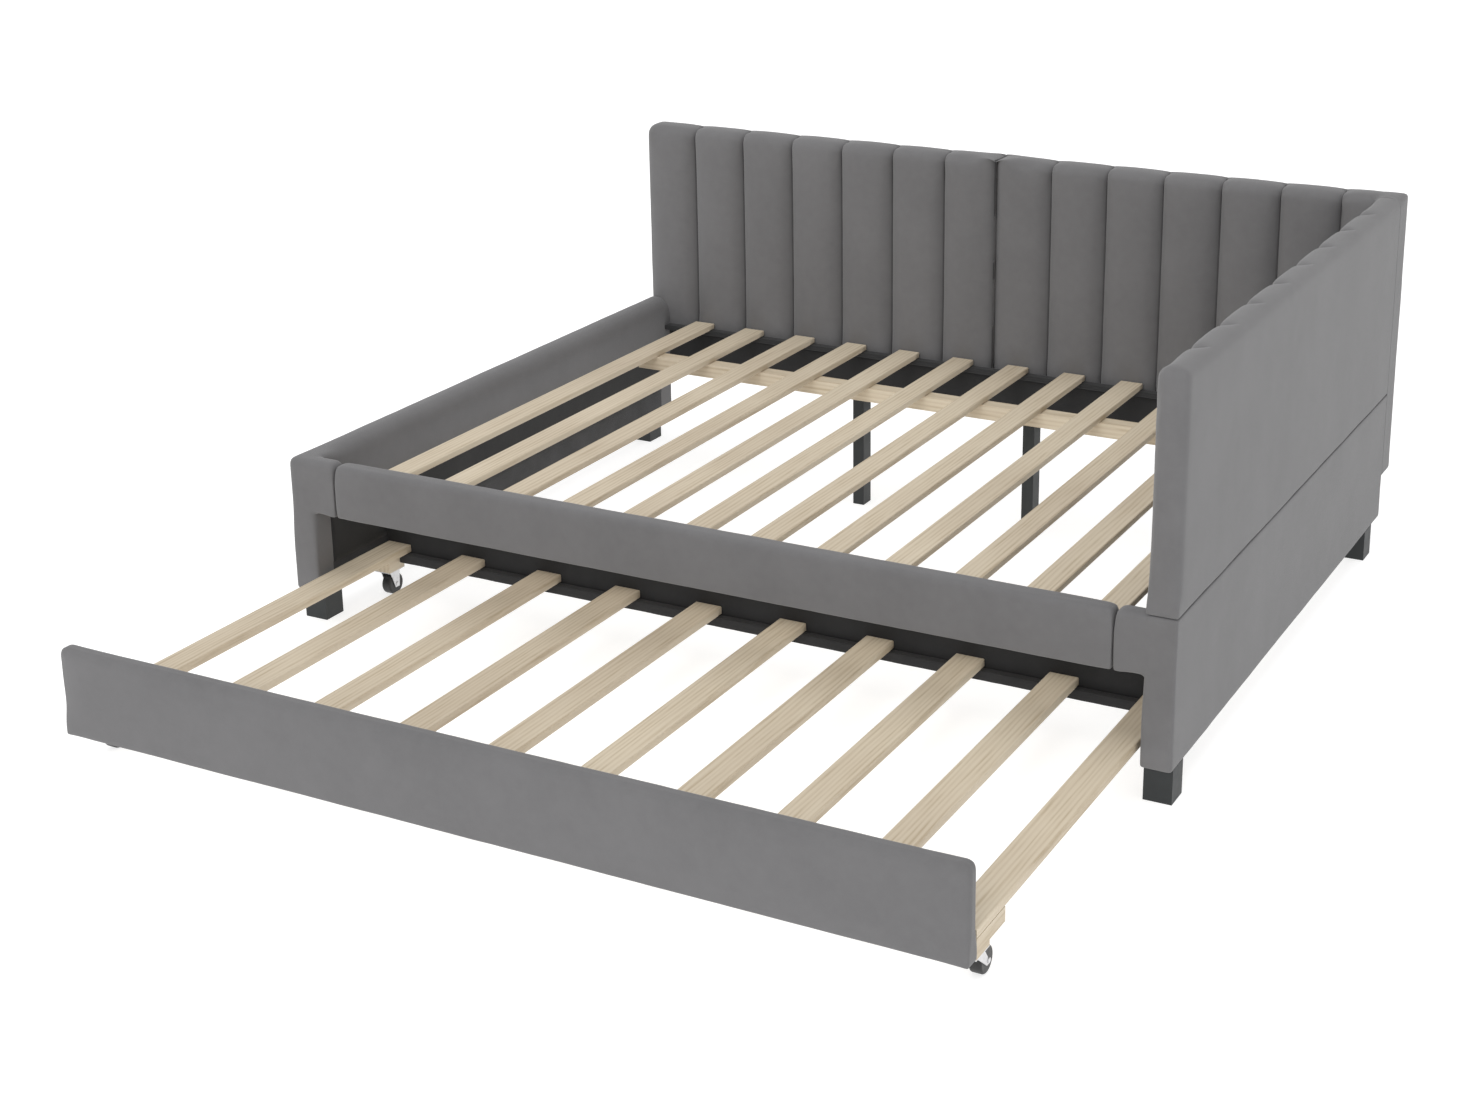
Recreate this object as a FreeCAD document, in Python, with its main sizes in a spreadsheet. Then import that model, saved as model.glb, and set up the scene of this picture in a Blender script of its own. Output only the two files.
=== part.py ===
"""A corner daybed with a tall arm, a channelled back and a roll-out trundle.

Frame: X runs along the bed, from the low end panel to the tall arm. Y runs from the trundle's
front to the back panel. Z is up, and the floor is at zero. The origin is on the floor, at the
middle of the whole bed's box with the trundle pulled out. Lengths are in millimetres.
"""
import FreeCAD, Part
import os
import re

import Sketcher

os.makedirs("parts", exist_ok=True)
doc = FreeCAD.newDocument("trundle_bed")

# Driving dimensions. Each one is set by itself, and nothing else in the model repeats it.
SIZES = {
    # the bed's box
    "bed_length": 2057,
    "panel_depth": 1525,
    "bed_height": 862,
    "base_height": 385,
    # end panels and their covers
    "panel_thickness": 65,
    "foam_thickness": 12,
    "cover_radius": 11,
    "frame_board": 70,
    "lining_thickness": 1,
    "lining_border": 55,
    "lining_height": 138,
    # front rail, and the short returns of the end panels that meet it
    "rail_depth": 48,
    "rail_height": 126,
    "return_length": 60,
    "rail_back_foam": 6,
    "seam_gap": 0.3,
    # back panel
    "back_thickness": 78,
    "back_floor_gap": 176,
    "back_front_foam": 24,
    "back_rear_foam": 6,
    # feet
    "leg_height": 73,
    "leg_width": 58,
    "leg_side_inset": 4,
    "leg_front_inset": 22,
    "leg_rear_inset": 55,
    # slats that carry the main mattress
    "slat_width": 59,
    "slat_thickness": 15,
    "slat_round": 3,
    "slat_end_gap": 3,
    "slat_side_margin": 85,
    "mattress_recess": 56,
    "ledge_depth": 28,
    "ledge_height": 14,
    # beam under the slats, and its two legs
    "beam_front": 1224,
    "beam_depth": 40,
    "beam_height": 36,
    "center_leg_width": 30,
    # trundle
    "trundle_out": 773,
    "trundle_depth": 1038,
    "trundle_side_gap": 5,
    "trundle_top_gap": 9,
    "trundle_floor_gap": 64,
    "trundle_front_thickness": 38,
    "trundle_foam": 8,
    "trundle_slat_width": 64,
    "trundle_slat_thickness": 18,
    "trundle_slat_margin": 3,
    "trundle_slat_top": 118,
    "trundle_rail_thickness": 25,
    "trundle_rail_height": 90,
    "trundle_ledge_depth": 18,
    "trundle_ledge_height": 24,
    # blocks and casters
    "block_width": 42,
    "block_length": 54,
    "block_step_length": 118,
    "block_step_height": 28,
    "wheel_diameter": 50,
    "wheel_width": 24,
    "wheel_round": 4,
    "wheel_gap": 1,
    "wheel_top_gap": 10,
    "axle_diameter": 6,
    "axle_clearance": 0.05,
    "plate_thickness": 2,
    "cheek_thickness": 1.6,
    "cheek_top_width": 34,
    "cheek_foot_width": 14,
    "front_trail": 40,
    "rear_trail": 6,
    "rivet_head_diameter": 10,
    "rivet_head_height": 1.5,
    # fasteners
    "bolt_diameter": 8,
    "bolt_head_diameter": 14,
    "bolt_head_height": 5,
    "bolt_grip": 40,
    "bolt_bite": 35,
    "bolt_clearance": 0.2,
}
SLAT_COUNT = 12
TRUNDLE_SLAT_COUNT = 10
CENTER_LEG_SLATS = {"left": 5, "right": 8}
WINDOW_COUNT = 3
TOLERANCE = 1e-6

# Places and sizes that follow from the driving dimensions.
PLACES = {
    "left_face": "-bed_length / 2",
    "front_face": "(trundle_out - panel_depth - back_thickness) / 2",
    "inner_length": "bed_length - 2 * panel_thickness",
    "panel_height": "base_height - leg_height",
    "rail_bottom": "base_height - rail_height",
    "rail_start": "panel_thickness + return_length",
    "rail_length": "bed_length - 2 * rail_start",
    "frame_depth": "panel_depth - 2 * foam_thickness",
    "frame_width": "panel_thickness - foam_thickness",
    "frame_height": "panel_height - 2 * foam_thickness",
    "frame_bottom": "leg_height + foam_thickness",
    "rail_frame_bottom": "rail_bottom + foam_thickness",
    "rail_frame_depth": "rail_depth - foam_thickness - rail_back_foam",
    "rail_frame_height": "rail_height - 2 * foam_thickness",
    "tall_height": "bed_height - base_height",
    "tall_frame_width": "panel_thickness - 2 * foam_thickness",
    "tall_frame_height": "tall_height - 2 * foam_thickness",
    "tall_frame_bottom": "base_height + foam_thickness",
    "back_height": "bed_height - back_floor_gap",
    "back_half": "bed_length / 2",
    "back_frame_width": "back_half - 2 * foam_thickness",
    "back_frame_height": "back_height - 2 * foam_thickness",
    "back_frame_depth": "back_thickness - back_front_foam - back_rear_foam",
    "back_frame_front": "panel_depth + back_front_foam",
    "slat_top": "base_height - mattress_recess",
    "slat_bottom": "slat_top - slat_thickness",
    "slat_length": "panel_depth - rail_depth - 2 * slat_end_gap",
    "slat_first": "panel_thickness + slat_side_margin",
    "beam_length": "inner_length - 2 * slat_side_margin",
    "beam_bottom": "slat_bottom - beam_height",
    "ledge_bottom": "slat_bottom - ledge_height",
    "rear_leg_front": "panel_depth - leg_rear_inset - leg_width",
    "slat_pitch": "(inner_length - 2 * slat_side_margin - slat_width) / %d" % (SLAT_COUNT - 1),
    "trundle_left": "panel_thickness + lining_thickness + trundle_side_gap",
    "trundle_length": "bed_length - 2 * trundle_left",
    "trundle_front": "-trundle_out",
    "trundle_front_height": "rail_bottom - trundle_top_gap - trundle_floor_gap",
    "trundle_inner_front": "trundle_front + trundle_front_thickness",
    "trundle_rail_front": "trundle_front + trundle_depth - trundle_rail_thickness",
    "trundle_slat_bottom": "trundle_slat_top - trundle_slat_thickness",
    "trundle_slat_length": "trundle_rail_front - trundle_inner_front",
    "trundle_slat_first": "trundle_left + trundle_slat_margin",
    "trundle_slat_pitch": "(trundle_length - 2 * trundle_slat_margin - trundle_slat_width) / %d"
                          % (TRUNDLE_SLAT_COUNT - 1),
    "trundle_rail_bottom": "trundle_slat_bottom - trundle_ledge_height",
    "trundle_ledge_length": "trundle_length - 2 * trundle_slat_margin - 2 * block_width",
    "trundle_frame_thickness": "trundle_front_thickness - 2 * trundle_foam",
    "rear_block_front": "trundle_rail_front - block_length",
    "plate_bottom": "wheel_diameter + wheel_top_gap",
    "block_bottom": "plate_bottom + plate_thickness",
    "block_height": "trundle_slat_bottom - block_bottom",
    "axle_height": "wheel_diameter / 2",
    "cheek_bottom": "axle_height - cheek_foot_width / 2",
    "cheek_height": "plate_bottom - cheek_bottom",
    "bore_diameter": "axle_diameter + 2 * axle_clearance",
    "fork_inside": "wheel_width + 2 * wheel_gap",
    "fork_outside": "fork_inside + 2 * cheek_thickness",
    "bolt_hole": "bolt_diameter + 2 * bolt_clearance",
    "bolt_head_hole": "bolt_head_diameter + 2 * bolt_clearance",
    "bolt_length": "bolt_grip + bolt_bite",
    "rail_bolt_seat": "rail_start - bolt_grip",
    "rail_bolt_depth": "foam_thickness + rail_frame_depth / 2",
    "back_bolt_seat": "panel_depth - foam_thickness + bolt_grip",
    "tall_bolt_seat": "tall_frame_bottom - bolt_grip",
    "joint_bolt_seat": "back_half + foam_thickness - bolt_grip",
    "back_bolt_side": "foam_thickness + frame_width / 2",
}

sheet = doc.addObject("Spreadsheet::Sheet", "Sizes")
for row, (alias, number) in enumerate(SIZES.items(), start=1):
    sheet.set("A%d" % row, alias)
    sheet.set("B%d" % row, str(number))
    sheet.setAlias("B%d" % row, alias)
doc.recompute()


def bound(text):
    """The expression with every named place worked out down to the sheet's cells."""
    def expand(match):
        word = match.group(0)
        if word in PLACES:
            return "(" + bound(PLACES[word]) + ")"
        return "Sizes." + word
    return re.sub(r"[a-z][a-z_]*", expand, text)


def value(text):
    return float(sheet.evalExpression(bound(text)))


def bind(item, name, text):
    item.setExpression(name, bound(text))


def place(item, x, y, z):
    """Put an object's corner at x from the left face, y from the front face and z from the floor."""
    bind(item, "Placement.Base.x", "left_face + " + x)
    bind(item, "Placement.Base.y", "front_face + " + y)
    bind(item, "Placement.Base.z", z)


def new_body(label, x, y, z):
    body = doc.addObject("PartDesign::Body", label)
    body.Label = label
    place(body, x, y, z)
    return body


def new_sketch(body, role, across, up, along):
    """A sketch on one of the body's own planes, moved across, up and along that plane's normal."""
    plane = next(item for item in body.Origin.OriginFeatures if item.Role == role)
    sketch = body.newObject("Sketcher::SketchObject", body.Label + "_sketch")
    sketch.AttachmentSupport = (plane, [""])
    sketch.MapMode = "FlatFace"
    bind(sketch, "AttachmentOffset.Base.x", across)
    bind(sketch, "AttachmentOffset.Base.y", up)
    bind(sketch, "AttachmentOffset.Base.z", along)
    return sketch


def draw_outline(sketch, points, sizes):
    """A closed outline from the sketch's origin. Sizes hold (kind, corner, corner, expression)."""
    corners = [FreeCAD.Vector(value(x), value(y), 0) for x, y in points]
    count = len(corners)
    for index in range(count):
        sketch.addGeometry(Part.LineSegment(corners[index], corners[(index + 1) % count]), False)
    for index in range(count):
        sketch.addConstraint(Sketcher.Constraint("Coincident", index, 2, (index + 1) % count, 1))
    sketch.addConstraint(Sketcher.Constraint("Coincident", 0, 1, -1, 1))
    for kind, start, end, text in sizes:
        if text is None:
            sketch.addConstraint(Sketcher.Constraint(kind, start))
            continue
        number = sketch.addConstraint(Sketcher.Constraint(kind, start, 1, end, 1, value(text)))
        bind(sketch, "Constraints[%d]" % number, text)


def draw_rectangle(sketch, width, height):
    draw_outline(
        sketch,
        [("0", "0"), (width, "0"), (width, height), ("0", height)],
        [
            ("Horizontal", 0, None, None),
            ("Vertical", 1, None, None),
            ("Horizontal", 2, None, None),
            ("Vertical", 3, None, None),
            ("DistanceX", 0, 1, width),
            ("DistanceY", 0, 3, height),
        ],
    )


def draw_circle(sketch, diameter):
    axis = FreeCAD.Vector(0, 0, 1)
    sketch.addGeometry(Part.Circle(FreeCAD.Vector(), axis, value(diameter) / 2), False)
    sketch.addConstraint(Sketcher.Constraint("Coincident", 0, 3, -1, 1))
    number = sketch.addConstraint(Sketcher.Constraint("Diameter", 0, value(diameter)))
    bind(sketch, "Constraints[%d]" % number, diameter)


def pad(body, sketch, length, backwards=False):
    feature = body.newObject("PartDesign::Pad", body.Label + "_pad")
    feature.Profile = sketch
    feature.Reversed = backwards
    bind(feature, "Length", length)
    doc.recompute()
    return feature


def pocket(body, sketch, depth, forwards=False):
    before = body.Shape.Volume
    feature = body.newObject("PartDesign::Pocket", body.Label + "_pocket")
    feature.Profile = sketch
    feature.Reversed = forwards
    bind(feature, "Length", depth)
    doc.recompute()
    if body.Shape.Volume > before - TOLERANCE:
        raise RuntimeError(body.Label + ": a pocket cut nothing")
    return feature


def add_block(body, x, y, z, width, depth, height):
    """A rectangular block, from its low corner in the body's own frame."""
    sketch = new_sketch(body, "XY_Plane", x, y, z)
    draw_rectangle(sketch, width, depth)
    return pad(body, sketch, height)


def cut_block(body, x, y, z, width, depth, height):
    """A rectangular hollow, from its low corner in the body's own frame."""
    sketch = new_sketch(body, "XY_Plane", x, y, "%s + %s" % (z, height))
    draw_rectangle(sketch, width, depth)
    return pocket(body, sketch, height)


def drill_x(body, x, y, z, length, diameter):
    """A round hole along +X, from its low end in the body's own frame."""
    sketch = new_sketch(body, "YZ_Plane", y, z, x)
    draw_circle(sketch, diameter)
    return pocket(body, sketch, length, forwards=True)


def drill_y(body, x, y, z, length, diameter):
    """A round hole along +Y, from its low end in the body's own frame."""
    sketch = new_sketch(body, "XZ_Plane", x, z, "-(%s)" % y)
    draw_circle(sketch, diameter)
    return pocket(body, sketch, length)


def drill_z(body, x, y, z, length, diameter):
    """A round hole along +Z, from its low end in the body's own frame."""
    sketch = new_sketch(body, "XY_Plane", x, y, z)
    draw_circle(sketch, diameter)
    return pocket(body, sketch, length, forwards=True)


def straight_on(planes):
    """A test for the straight edges that lie on two of the given planes (axis, place)."""
    limits = [(axis, value(text)) for axis, text in planes]

    def wanted(edge, middle):
        hits = [1 for axis, number in limits if abs(middle[axis] - number) < TOLERANCE]
        return edge.Curve.TypeId == "Part::GeomLine" and len(hits) == 2
    return wanted


def along_axis(axis):
    """A test for the straight edges that run along one axis."""
    def wanted(edge, middle):
        if edge.Curve.TypeId != "Part::GeomLine":
            return False
        return abs(abs(edge.Curve.Direction[axis]) - 1) < TOLERANCE
    return wanted


def is_circle(edge, middle):
    return edge.Curve.TypeId == "Part::GeomCircle"


def round_edges(body, radius, wanted):
    """Round each edge of the body that passes the test."""
    base = body.Tip
    names = []
    for number, edge in enumerate(base.Shape.Edges, start=1):
        middle = edge.valueAt((edge.FirstParameter + edge.LastParameter) / 2)
        if wanted(edge, middle):
            names.append("Edge%d" % number)
    feature = body.newObject("PartDesign::Fillet", body.Label + "_fillet")
    feature.Base = (base, names)
    bind(feature, "Radius", radius)
    doc.recompute()
    return feature


X_AXIS, Y_AXIS, Z_AXIS = 0, 1, 2
subparts = []


def keep(item):
    """List an object as one of the finished sub-parts."""
    subparts.append(item)
    return item


def mirrored(side, start, width):
    """Where a span starts, from the left face: as given on the left, mirrored on the right."""
    if side == "left":
        return start
    return "bed_length - (%s) - (%s)" % (start, width)


def board(label, x, y, z, width, depth, height):
    """A plain rectangular piece, from its low corner."""
    body = new_body(label, x, y, z)
    add_block(body, "0", "0", "0", width, depth, height)
    return keep(body)


def cut_windows(body, x, y, z, width, depth, height, axis):
    """A row of windows through a frame, which leaves boards of one width around and between them."""
    run = depth if axis == Y_AXIS else width
    size = "((%s) - %d * frame_board) / %d" % (run, WINDOW_COUNT + 1, WINDOW_COUNT)
    tall = "(%s) - 2 * frame_board" % height
    low = "%s + frame_board" % z
    for index in range(WINDOW_COUNT):
        step = "%d * frame_board + %d * (%s)" % (index + 1, index, size)
        if axis == Y_AXIS:
            cut_block(body, x, "%s + %s" % (y, step), low, width, size, tall)
        else:
            cut_block(body, "%s + %s" % (x, step), y, low, size, depth, tall)


def rail_bolt_heights():
    return ["rail_frame_bottom + rail_frame_height * %g" % share for share in (0.25, 0.75)]


def back_bolt_heights():
    return ["back_floor_gap + frame_board", "base_height - frame_board"]


def joint_bolt_heights():
    return ["back_floor_gap + 2 * frame_board", "bed_height - 2 * frame_board"]


def tall_bolt_depths():
    return ["panel_depth / 4", "panel_depth * 3 / 4"]


def leg_bolt_places():
    """The leg bolts' places on the left side: x and y of each leg's middle."""
    side = "leg_side_inset + leg_width / 2"
    return [(side, "leg_front_inset + leg_width / 2"), (side, "rear_leg_front + leg_width / 2")]


def end_panel_cover(side):
    """The upholstery of a low end panel and of its short return, hollow for the frame."""
    body = new_body(side + "_panel_cover", "0", "0", "0")
    plate = mirrored(side, "0", "panel_thickness")
    stub = mirrored(side, "panel_thickness", "return_length")
    add_block(body, plate, "0", "leg_height", "panel_thickness", "panel_depth", "panel_height")
    add_block(body, stub, "0", "rail_bottom", "return_length", "rail_depth", "rail_height")
    outer = "0" if side == "left" else "bed_length"
    planes = [(X_AXIS, outer), (Y_AXIS, "0"), (Y_AXIS, "panel_depth")]
    planes += [(Z_AXIS, "leg_height"), (Z_AXIS, "base_height")]
    round_edges(body, "cover_radius", straight_on(planes))
    hollow = mirrored(side, "foam_thickness", "frame_width")
    cut_block(body, hollow, "foam_thickness", "frame_bottom",
              "frame_width", "frame_depth", "frame_height")
    cut_block(body, stub, "foam_thickness", "rail_frame_bottom",
              "return_length", "rail_frame_depth", "rail_frame_height")
    for x, y in leg_bolt_places():
        drill_z(body, mirrored(side, x, "0"), y, "leg_height", "foam_thickness", "bolt_hole")
    for z in back_bolt_heights():
        drill_y(body, mirrored(side, "back_bolt_side", "0"), "panel_depth - foam_thickness", z,
                "foam_thickness", "bolt_hole")
    if side == "right":
        for y in tall_bolt_depths():
            drill_z(body, mirrored(side, "panel_thickness / 2", "0"), y,
                    "base_height - foam_thickness", "foam_thickness", "bolt_hole")
    return keep(body)


def end_panel_frame(side):
    """The wooden frame inside a low end panel, with the block that the front rail bolts to."""
    body = new_body(side + "_panel_frame", "0", "0", "0")
    plate = mirrored(side, "foam_thickness", "frame_width")
    stub = mirrored(side, "panel_thickness", "return_length")
    add_block(body, plate, "foam_thickness", "frame_bottom",
              "frame_width", "frame_depth", "frame_height")
    add_block(body, stub, "foam_thickness", "rail_frame_bottom",
              "return_length", "rail_frame_depth", "rail_frame_height")
    cut_windows(body, plate, "foam_thickness", "frame_bottom",
                "frame_width", "frame_depth", "frame_height", Y_AXIS)
    access = "rail_bolt_seat - foam_thickness"
    for z in rail_bolt_heights():
        drill_x(body, mirrored(side, "foam_thickness", access), "rail_bolt_depth", z,
                access, "bolt_head_hole")
        drill_x(body, mirrored(side, "rail_bolt_seat", "bolt_grip"), "rail_bolt_depth", z,
                "bolt_grip", "bolt_hole")
    for x, y in leg_bolt_places():
        drill_z(body, mirrored(side, x, "0"), y, "frame_bottom", "bolt_bite", "bolt_hole")
    for z in back_bolt_heights():
        drill_y(body, mirrored(side, "back_bolt_side", "0"),
                "panel_depth - foam_thickness - bolt_bite", z, "bolt_bite", "bolt_hole")
    if side == "right":
        top = "base_height - foam_thickness"
        board_bottom = "%s - frame_board" % top
        for y in tall_bolt_depths():
            x = mirrored(side, "panel_thickness / 2", "0")
            drill_z(body, x, y, "tall_bolt_seat", "%s - tall_bolt_seat" % top, "bolt_hole")
            drill_z(body, x, y, board_bottom, "tall_bolt_seat - (%s)" % board_bottom,
                    "bolt_head_hole")
    return keep(body)


def end_panel_lining(side):
    """The thin black cloth over the inner face of an end panel, inside a border of upholstery."""
    x = mirrored(side, "panel_thickness", "lining_thickness")
    return board(side + "_panel_lining", x, "lining_border", "leg_height + lining_border",
                 "lining_thickness", "panel_depth - 2 * lining_border", "lining_height")


def tall_panel():
    """The tall arm on the right end panel: an upholstered cover around a wooden frame."""
    x = mirrored("right", "0", "panel_thickness")
    cover = new_body("tall_panel_cover", x, "0", "base_height")
    add_block(cover, "0", "0", "0", "panel_thickness", "panel_depth", "tall_height")
    round_edges(cover, "cover_radius", along_axis(Z_AXIS))
    hollow = ("foam_thickness", "foam_thickness", "foam_thickness")
    cut_block(cover, *hollow, "tall_frame_width", "frame_depth", "tall_frame_height")
    frame = new_body("tall_panel_frame", x, "0", "base_height")
    add_block(frame, *hollow, "tall_frame_width", "frame_depth", "tall_frame_height")
    cut_windows(frame, *hollow, "tall_frame_width", "frame_depth", "tall_frame_height", Y_AXIS)
    for y in tall_bolt_depths():
        drill_z(cover, "panel_thickness / 2", y, "0", "foam_thickness", "bolt_hole")
        drill_z(frame, "panel_thickness / 2", y, "foam_thickness", "bolt_bite", "bolt_hole")
    keep(cover)
    keep(frame)


def back_half(side):
    """One half of the back panel: an upholstered cover around a wooden frame."""
    x = mirrored(side, "0", "back_half")
    hollow = ("foam_thickness", "back_front_foam", "foam_thickness")
    size = ("back_frame_width", "back_frame_depth", "back_frame_height")
    cover = new_body("back_cover_" + side, x, "panel_depth", "back_floor_gap")
    add_block(cover, "0", "0", "0", "back_half", "back_thickness", "back_height")
    round_edges(cover, "cover_radius", along_axis(X_AXIS))
    cut_block(cover, *hollow, *size)
    frame = new_body("back_frame_" + side, x, "panel_depth", "back_floor_gap")
    add_block(frame, *hollow, *size)
    cut_windows(frame, *hollow, *size, X_AXIS)
    bolt_x = "back_bolt_side" if side == "left" else "back_half - back_bolt_side"
    seat = "back_bolt_seat - panel_depth"
    for height in back_bolt_heights():
        z = "%s - back_floor_gap" % height
        drill_y(cover, bolt_x, "0", z, "back_front_foam", "bolt_hole")
        drill_y(frame, bolt_x, "back_front_foam", z, "%s - back_front_foam" % seat, "bolt_hole")
        drill_y(frame, bolt_x, seat, z, "back_front_foam + back_frame_depth - (%s)" % seat,
                "bolt_head_hole")
    middle = "back_front_foam + back_frame_depth / 2"
    for height in joint_bolt_heights():
        z = "%s - back_floor_gap" % height
        if side == "left":
            frame_end = "back_half - foam_thickness"
            window = "%s - frame_board" % frame_end
            drill_x(cover, frame_end, middle, z, "foam_thickness", "bolt_hole")
            drill_x(frame, "joint_bolt_seat", middle, z, "%s - joint_bolt_seat" % frame_end,
                    "bolt_hole")
            drill_x(frame, window, middle, z, "joint_bolt_seat - (%s)" % window,
                    "bolt_head_hole")
        else:
            drill_x(cover, "0", middle, z, "foam_thickness", "bolt_hole")
            drill_x(frame, "foam_thickness", middle, z, "bolt_bite", "bolt_hole")
    keep(cover)
    keep(frame)


def back_trim():
    """The ledge under the slats' rear ends, and the black cloth on the back panel below it."""
    board("back_ledge", "panel_thickness", "panel_depth - ledge_depth", "ledge_bottom",
          "inner_length", "ledge_depth", "ledge_height")
    board("back_lining", "panel_thickness", "panel_depth - lining_thickness", "back_floor_gap",
          "inner_length", "lining_thickness", "ledge_bottom - back_floor_gap")


def front_rail():
    """The upholstered front rail between the returns, its frame board and the slats' ledge."""
    cover_x = "rail_start + seam_gap"
    length = "rail_length - 2 * seam_gap"
    cover = new_body("front_rail_cover", cover_x, "0", "rail_bottom")
    add_block(cover, "0", "0", "0", length, "rail_depth", "rail_height")
    round_edges(cover, "cover_radius", along_axis(X_AXIS))
    cut_block(cover, "0", "foam_thickness", "foam_thickness",
              length, "rail_frame_depth", "rail_frame_height")
    keep(cover)
    frame = board("front_rail_frame", "rail_start", "foam_thickness", "rail_frame_bottom",
                  "rail_length", "rail_frame_depth", "rail_frame_height")
    for height in rail_bolt_heights():
        z = "%s - rail_frame_bottom" % height
        for x in ("0", "rail_length - bolt_bite"):
            drill_x(frame, x, "rail_frame_depth / 2", z, "bolt_bite", "bolt_hole")
    board("front_ledge", "panel_thickness", "rail_depth", "ledge_bottom",
          "inner_length", "ledge_depth", "ledge_height")


def slat(label, x, y, z, width, length, thickness):
    body = board(label, x, y, z, width, length, thickness)
    round_edges(body, "slat_round", along_axis(Y_AXIS))


def main_slats():
    for index in range(SLAT_COUNT):
        x = "slat_first + %d * slat_pitch" % index
        slat("slat_%02d" % (index + 1), x, "rail_depth + slat_end_gap", "slat_bottom",
             "slat_width", "slat_length", "slat_thickness")


def center_leg_middle(side):
    return "slat_first + %d * slat_pitch + slat_width / 2" % (CENTER_LEG_SLATS[side] - 1)


def center_support():
    """The beam under the slats and its two legs."""
    beam = board("center_beam", "slat_first", "beam_front", "beam_bottom",
                 "beam_length", "beam_depth", "beam_height")
    for side in ("left", "right"):
        middle = center_leg_middle(side)
        leg = board("center_leg_" + side, "%s - center_leg_width / 2" % middle, "beam_front", "0",
                    "center_leg_width", "beam_depth", "beam_bottom")
        drill_z(leg, "center_leg_width / 2", "beam_depth / 2", "beam_bottom - bolt_grip",
                "bolt_grip", "bolt_hole")
        drill_z(beam, "%s - slat_first" % middle, "beam_depth / 2", "0", "bolt_bite", "bolt_hole")


def corner_legs():
    for side in ("left", "right"):
        for end, y in (("front", "leg_front_inset"), ("rear", "rear_leg_front")):
            leg = board("leg_%s_%s" % (end, side), mirrored(side, "leg_side_inset", "leg_width"), y,
                        "0", "leg_width", "leg_width", "leg_height")
            drill_z(leg, "leg_width / 2", "leg_width / 2",
                    "leg_height + foam_thickness - bolt_grip",
                    "bolt_grip - foam_thickness", "bolt_hole")


def cylinder(name, diameter, height):
    item = doc.addObject("Part::Cylinder", name)
    bind(item, "Radius", "(%s) / 2" % diameter)
    bind(item, "Height", height)
    return item


def group(label, items):
    """Several separate solids of one kind, kept as one sub-part."""
    compound = doc.addObject("Part::Compound", label)
    compound.Label = label
    compound.Links = items
    return keep(compound)


def headed_bolt(x, y, z, turn):
    """A bolt whose head sits at the given place and whose shank runs the way that turn gives."""
    shank = cylinder("bolt_shank", "bolt_diameter", "bolt_length")
    head = cylinder("bolt_head", "bolt_head_diameter", "bolt_head_height")
    bind(head, "Placement.Base.z", "-bolt_head_height")
    bolt = doc.addObject("Part::Fuse", "bolt")
    bolt.Base = shank
    bolt.Tool = head
    bolt.Placement.Rotation = turn
    place(bolt, x, y, z)
    return bolt


def frame_bolts():
    """The bolts that join the rail, the back halves, the tall arm and the end panels."""
    y_way = FreeCAD.Vector(0, 1, 0)
    towards = {"left": FreeCAD.Rotation(y_way, 90), "right": FreeCAD.Rotation(y_way, -90)}
    forwards = FreeCAD.Rotation(FreeCAD.Vector(1, 0, 0), 90)
    upwards = FreeCAD.Rotation()
    bolts = []
    for side, turn in towards.items():
        for z in rail_bolt_heights():
            bolts.append(headed_bolt(mirrored(side, "rail_bolt_seat", "0"), "rail_bolt_depth", z,
                                     turn))
        for z in back_bolt_heights():
            bolts.append(headed_bolt(mirrored(side, "back_bolt_side", "0"), "back_bolt_seat", z,
                                     forwards))
    for y in tall_bolt_depths():
        bolts.append(headed_bolt(mirrored("right", "panel_thickness / 2", "0"), y,
                                 "tall_bolt_seat", upwards))
    middle = "back_frame_front + back_frame_depth / 2"
    for z in joint_bolt_heights():
        bolts.append(headed_bolt("joint_bolt_seat", middle, z, towards["left"]))
    group("frame_bolts", bolts)


def leg_bolts():
    """The headless bolts that hold the corner legs and the beam's legs."""
    places = []
    for side in ("left", "right"):
        for x, y in leg_bolt_places():
            places.append((mirrored(side, x, "0"), y, "frame_bottom - bolt_grip"))
        places.append((center_leg_middle(side), "beam_front + beam_depth / 2",
                       "beam_bottom - bolt_grip"))
    bolts = []
    for x, y, z in places:
        bolt = cylinder("leg_bolt", "bolt_diameter", "bolt_length")
        place(bolt, x, y, z)
        bolts.append(bolt)
    group("leg_bolts", bolts)


def trundle_front():
    """The trundle's upholstered front, its inner board and the ledge behind it."""
    corner = ("trundle_left", "trundle_front", "trundle_floor_gap")
    size = ("trundle_length - 2 * trundle_foam", "trundle_frame_thickness",
            "trundle_front_height - 2 * trundle_foam")
    hollow = ("trundle_foam", "trundle_foam", "trundle_foam")
    cover = new_body("trundle_front_cover", *corner)
    add_block(cover, "0", "0", "0", "trundle_length", "trundle_front_thickness",
              "trundle_front_height")
    round_edges(cover, "cover_radius", along_axis(X_AXIS))
    cut_block(cover, *hollow, *size)
    keep(cover)
    inner = new_body("trundle_front_board", *corner)
    add_block(inner, *hollow, *size)
    keep(inner)
    board("trundle_front_ledge", "trundle_slat_first + block_width", "trundle_inner_front",
          "trundle_rail_bottom", "trundle_ledge_length", "trundle_ledge_depth",
          "trundle_ledge_height")


def trundle_rear():
    """The trundle's cloth-covered rear rail and the ledge on its inner face."""
    board("trundle_rear_rail", "trundle_left", "trundle_rail_front", "trundle_rail_bottom",
          "trundle_length", "trundle_rail_thickness", "trundle_rail_height")
    board("trundle_rear_ledge", "trundle_slat_first + block_width",
          "trundle_rail_front - trundle_ledge_depth", "trundle_rail_bottom",
          "trundle_ledge_length", "trundle_ledge_depth", "trundle_ledge_height")


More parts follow.
